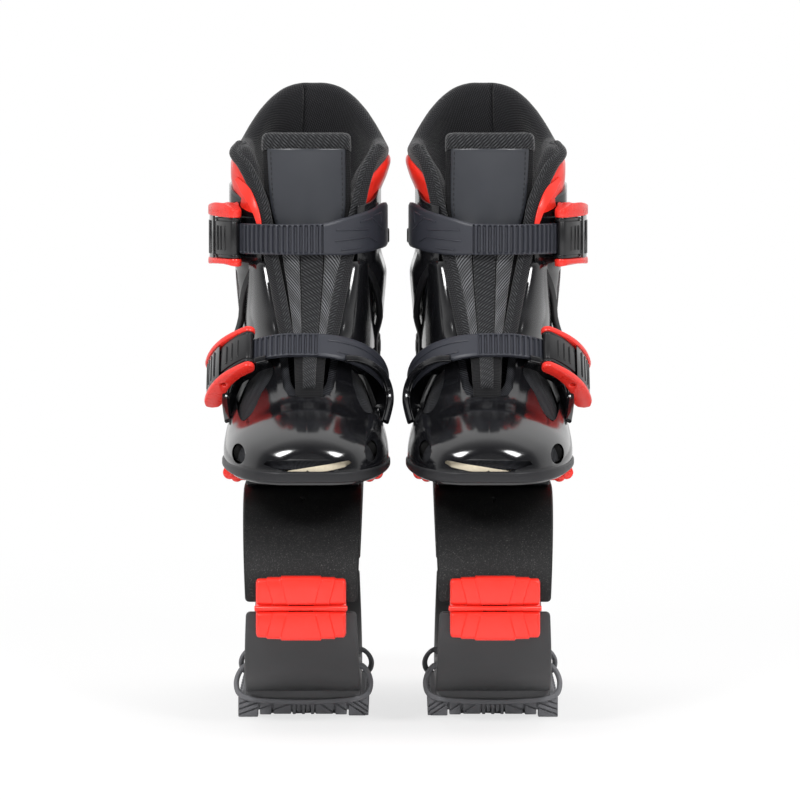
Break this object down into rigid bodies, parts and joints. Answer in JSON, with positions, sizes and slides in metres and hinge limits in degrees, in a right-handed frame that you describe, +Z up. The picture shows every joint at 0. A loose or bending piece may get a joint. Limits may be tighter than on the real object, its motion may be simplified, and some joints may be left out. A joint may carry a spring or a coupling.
{
  "type": "jumping boots",
  "caption": "Pair of children's rebound jumping boots: hard skate-type boots with ratchet straps, each on two hinged plastic bows with a tension band and a rubber tread.",
  "frame": {"origin": "on the floor, under the middle of the pair", "axes": "+Z up, toes towards -Y, +X towards the wearer's left boot"},
  "size_m": [0.2608, 0.3129, 0.4248],
  "materials": {
    "tread_rubber": "matte tread rubber",
    "lower_bow_plastic": "matte dark grey",
    "upper_bow_plastic": "satin black",
    "red_plastic": "semi gloss red",
    "red_gloss": "gloss red",
    "steel": "bright steel",
    "band_rubber": "matte black",
    "black_shell": "high gloss black",
    "insole_board": "pale board",
    "liner_mesh": "black mesh",
    "collar_knit": "black knit",
    "tongue_leather": "smooth dark grey",
    "strap_plastic": "matte dark grey",
    "buckle_black": "satin black"
  },
  "bodies": {
    "right_sole": {"right_outsole": "tread_rubber", "right_lower_bow": "lower_bow_plastic"},
    "right_front_lower": {"right_front_hinge_lower": "red_plastic", "right_front_hinge_pin": "steel"},
    "right_front_upper": {"right_front_hinge_upper": "red_plastic"},
    "right_band": {"right_tension_band": "band_rubber"},
    "right_rear_pin": {"right_rear_hinge_pin": "steel"},
    "right_rear_lower": {"right_rear_hinge_lower": "red_plastic"},
    "right_rear_upper": {"right_rear_hinge_upper": "red_plastic"},
    "right_boot": {"right_upper_bow": "upper_bow_plastic", "right_mount_bracket": "red_plastic", "right_mount_bolts": "steel", "right_lower_shell": "black_shell", "right_shell_rivets": "steel", "right_footbed": "insole_board", "right_liner_foot": "liner_mesh", "right_tongue": "tongue_leather", "right_instep_strap": "strap_plastic", "right_instep_buckle_base": "buckle_black", "right_instep_pins": "steel"},
    "right_cuff": {"right_cuff": "black_shell", "right_liner_collar": "collar_knit", "right_collar_panels": "red_gloss", "right_ankle_strap": "strap_plastic", "right_ankle_buckle_base": "buckle_black", "right_ankle_pins": "steel"},
    "right_ankle_lever": {"right_ankle_lever": "red_plastic"},
    "right_ankle_release": {"right_ankle_release": "buckle_black"},
    "right_instep_lever": {"right_instep_lever": "red_plastic"},
    "right_instep_release": {"right_instep_release": "buckle_black"},
    "left_sole": {"left_outsole": "tread_rubber", "left_lower_bow": "lower_bow_plastic"},
    "left_front_lower": {"left_front_hinge_lower": "red_plastic", "left_front_hinge_pin": "steel"},
    "left_front_upper": {"left_front_hinge_upper": "red_plastic"},
    "left_band": {"left_tension_band": "band_rubber"},
    "left_rear_pin": {"left_rear_hinge_pin": "steel"},
    "left_rear_lower": {"left_rear_hinge_lower": "red_plastic"},
    "left_rear_upper": {"left_rear_hinge_upper": "red_plastic"},
    "left_boot": {"left_upper_bow": "upper_bow_plastic", "left_mount_bracket": "red_plastic", "left_mount_bolts": "steel", "left_lower_shell": "black_shell", "left_shell_rivets": "steel", "left_footbed": "insole_board", "left_liner_foot": "liner_mesh", "left_tongue": "tongue_leather", "left_instep_strap": "strap_plastic", "left_instep_buckle_base": "buckle_black", "left_instep_pins": "steel"},
    "left_cuff": {"left_cuff": "black_shell", "left_liner_collar": "collar_knit", "left_collar_panels": "red_gloss", "left_ankle_strap": "strap_plastic", "left_ankle_buckle_base": "buckle_black", "left_ankle_pins": "steel"},
    "left_ankle_lever": {"left_ankle_lever": "red_plastic"},
    "left_ankle_release": {"left_ankle_release": "buckle_black"},
    "left_instep_lever": {"left_instep_lever": "red_plastic"},
    "left_instep_release": {"left_instep_release": "buckle_black"}
  },
  "joints": [
    {"name": "right_front_arm_lower", "type": "hinge", "parent": "right_sole", "child": "right_front_lower", "pos_m": [-0.064, -0.045, 0.022], "axis": [1, 0, 0], "range_deg": [-0.1, 8.4]},
    {"name": "right_front_pin_turn", "type": "hinge", "parent": "right_front_lower", "child": "right_front_upper", "pos_m": [-0.064, -0.145, 0.083], "axis": [1, 0, 0], "range_deg": [-16.7, 0.1]},
    {"name": "right_bow_flex", "type": "hinge", "parent": "right_front_upper", "child": "right_boot", "pos_m": [-0.064, -0.045, 0.144], "axis": [1, 0, 0], "range_deg": [0, 8.3], "stiffness_Nm_per_rad": 458, "springref_deg": -1.15, "deforming": ["right_lower_bow", "right_upper_bow", "right_tension_band"]},
    {"name": "right_rear_arm_lower", "type": "hinge", "parent": "right_sole", "child": "right_rear_lower", "pos_m": [-0.064, 0.045, 0.022], "axis": [1, 0, 0], "range_deg": [-8.4, 0.1]},
    {"name": "right_rear_arm_upper", "type": "hinge", "parent": "right_boot", "child": "right_rear_upper", "pos_m": [-0.064, 0.045, 0.144], "axis": [1, 0, 0], "range_deg": [-0.1, 8.4]},
    {"name": "right_band_level", "type": "hinge", "parent": "right_front_lower", "child": "right_band", "pos_m": [-0.064, -0.145, 0.083], "axis": [1, 0, 0], "range_deg": [-8.4, 0.1]},
    {"name": "right_band_stretch", "type": "slide", "parent": "right_band", "child": "right_rear_pin", "axis": [0, 1, 0], "range_m": [-0.0002, 0.0162]},
    {"name": "right_cuff_pivot", "type": "hinge", "parent": "right_boot", "child": "right_cuff", "pos_m": [-0.064, 0.04, 0.245], "axis": [1, 0, 0], "range_deg": [-4, 12], "stiffness_Nm_per_rad": 8, "deforming": ["right_tongue"]},
    {"name": "right_ankle_lever_turn", "type": "hinge", "parent": "right_cuff", "child": "right_ankle_lever", "pos_m": [-0.11128, -0.01527, 0.3215], "axis": [0, 0, 1], "range_deg": [0, 80]},
    {"name": "right_ankle_release_turn", "type": "hinge", "parent": "right_cuff", "child": "right_ankle_release", "pos_m": [-0.12203, 0.00709, 0.3215], "axis": [0, 0, 1], "range_deg": [0, 3], "stiffness_Nm_per_rad": 0.2, "springref_deg": -2.86},
    {"name": "right_instep_lever_turn", "type": "hinge", "parent": "right_boot", "child": "right_instep_lever", "pos_m": [-0.10097, -0.0629, 0.24851], "axis": [0, 0.6157, 0.788], "range_deg": [0, 80]},
    {"name": "right_instep_release_turn", "type": "hinge", "parent": "right_boot", "child": "right_instep_release", "pos_m": [-0.11775, -0.04854, 0.23729], "axis": [0, 0.6157, 0.788], "range_deg": [0, 3], "stiffness_Nm_per_rad": 0.2, "springref_deg": -2.86},
    {"name": "left_front_arm_lower", "type": "hinge", "parent": "left_sole", "child": "left_front_lower", "pos_m": [0.064, -0.045, 0.022], "axis": [1, 0, 0], "range_deg": [-0.1, 8.4]},
    {"name": "left_front_pin_turn", "type": "hinge", "parent": "left_front_lower", "child": "left_front_upper", "pos_m": [0.064, -0.145, 0.083], "axis": [1, 0, 0], "range_deg": [-16.7, 0.1]},
    {"name": "left_bow_flex", "type": "hinge", "parent": "left_front_upper", "child": "left_boot", "pos_m": [0.064, -0.045, 0.144], "axis": [1, 0, 0], "range_deg": [0, 8.3], "stiffness_Nm_per_rad": 458, "springref_deg": -1.15, "deforming": ["left_lower_bow", "left_upper_bow", "left_tension_band"]},
    {"name": "left_rear_arm_lower", "type": "hinge", "parent": "left_sole", "child": "left_rear_lower", "pos_m": [0.064, 0.045, 0.022], "axis": [1, 0, 0], "range_deg": [-8.4, 0.1]},
    {"name": "left_rear_arm_upper", "type": "hinge", "parent": "left_boot", "child": "left_rear_upper", "pos_m": [0.064, 0.045, 0.144], "axis": [1, 0, 0], "range_deg": [-0.1, 8.4]},
    {"name": "left_band_level", "type": "hinge", "parent": "left_front_lower", "child": "left_band", "pos_m": [0.064, -0.145, 0.083], "axis": [1, 0, 0], "range_deg": [-8.4, 0.1]},
    {"name": "left_band_stretch", "type": "slide", "parent": "left_band", "child": "left_rear_pin", "axis": [0, 1, 0], "range_m": [-0.0002, 0.0162]},
    {"name": "left_cuff_pivot", "type": "hinge", "parent": "left_boot", "child": "left_cuff", "pos_m": [0.064, 0.04, 0.245], "axis": [1, 0, 0], "range_deg": [-4, 12], "stiffness_Nm_per_rad": 8, "deforming": ["left_tongue"]},
    {"name": "left_ankle_lever_turn", "type": "hinge", "parent": "left_cuff", "child": "left_ankle_lever", "pos_m": [0.11128, -0.01527, 0.3215], "axis": [0, 0, -1], "range_deg": [0, 80]},
    {"name": "left_ankle_release_turn", "type": "hinge", "parent": "left_cuff", "child": "left_ankle_release", "pos_m": [0.12203, 0.00709, 0.3215], "axis": [0, 0, -1], "range_deg": [0, 3], "stiffness_Nm_per_rad": 0.2, "springref_deg": -2.86},
    {"name": "left_instep_lever_turn", "type": "hinge", "parent": "left_boot", "child": "left_instep_lever", "pos_m": [0.10097, -0.0629, 0.24851], "axis": [0, -0.6157, -0.788], "range_deg": [0, 80]},
    {"name": "left_instep_release_turn", "type": "hinge", "parent": "left_boot", "child": "left_instep_release", "pos_m": [0.11775, -0.04854, 0.23729], "axis": [0, -0.6157, -0.788], "range_deg": [0, 3], "stiffness_Nm_per_rad": 0.2, "springref_deg": -2.86},
    {"name": "left_boot_lift", "type": "slide", "parent": "right_sole", "child": "left_sole", "axis": [0, 0, 1], "range_m": [0, 0.3]}
  ],
  "couplings": [
    {"joint": "right_front_arm_lower", "follows": "right_bow_flex", "ratio": 1},
    {"joint": "right_front_pin_turn", "follows": "right_bow_flex", "ratio": -2},
    {"joint": "right_rear_arm_lower", "follows": "right_bow_flex", "ratio": -1},
    {"joint": "right_rear_arm_upper", "follows": "right_bow_flex", "ratio": 1},
    {"joint": "right_band_level", "follows": "right_bow_flex", "ratio": -1},
    {"joint": "right_band_stretch", "follows": "right_bow_flex", "m_per_rad": 0.1096},
    {"joint": "left_front_arm_lower", "follows": "left_bow_flex", "ratio": 1},
    {"joint": "left_front_pin_turn", "follows": "left_bow_flex", "ratio": -2},
    {"joint": "left_rear_arm_lower", "follows": "left_bow_flex", "ratio": -1},
    {"joint": "left_rear_arm_upper", "follows": "left_bow_flex", "ratio": 1},
    {"joint": "left_band_level", "follows": "left_bow_flex", "ratio": -1},
    {"joint": "left_band_stretch", "follows": "left_bow_flex", "m_per_rad": 0.1096}
  ]
}
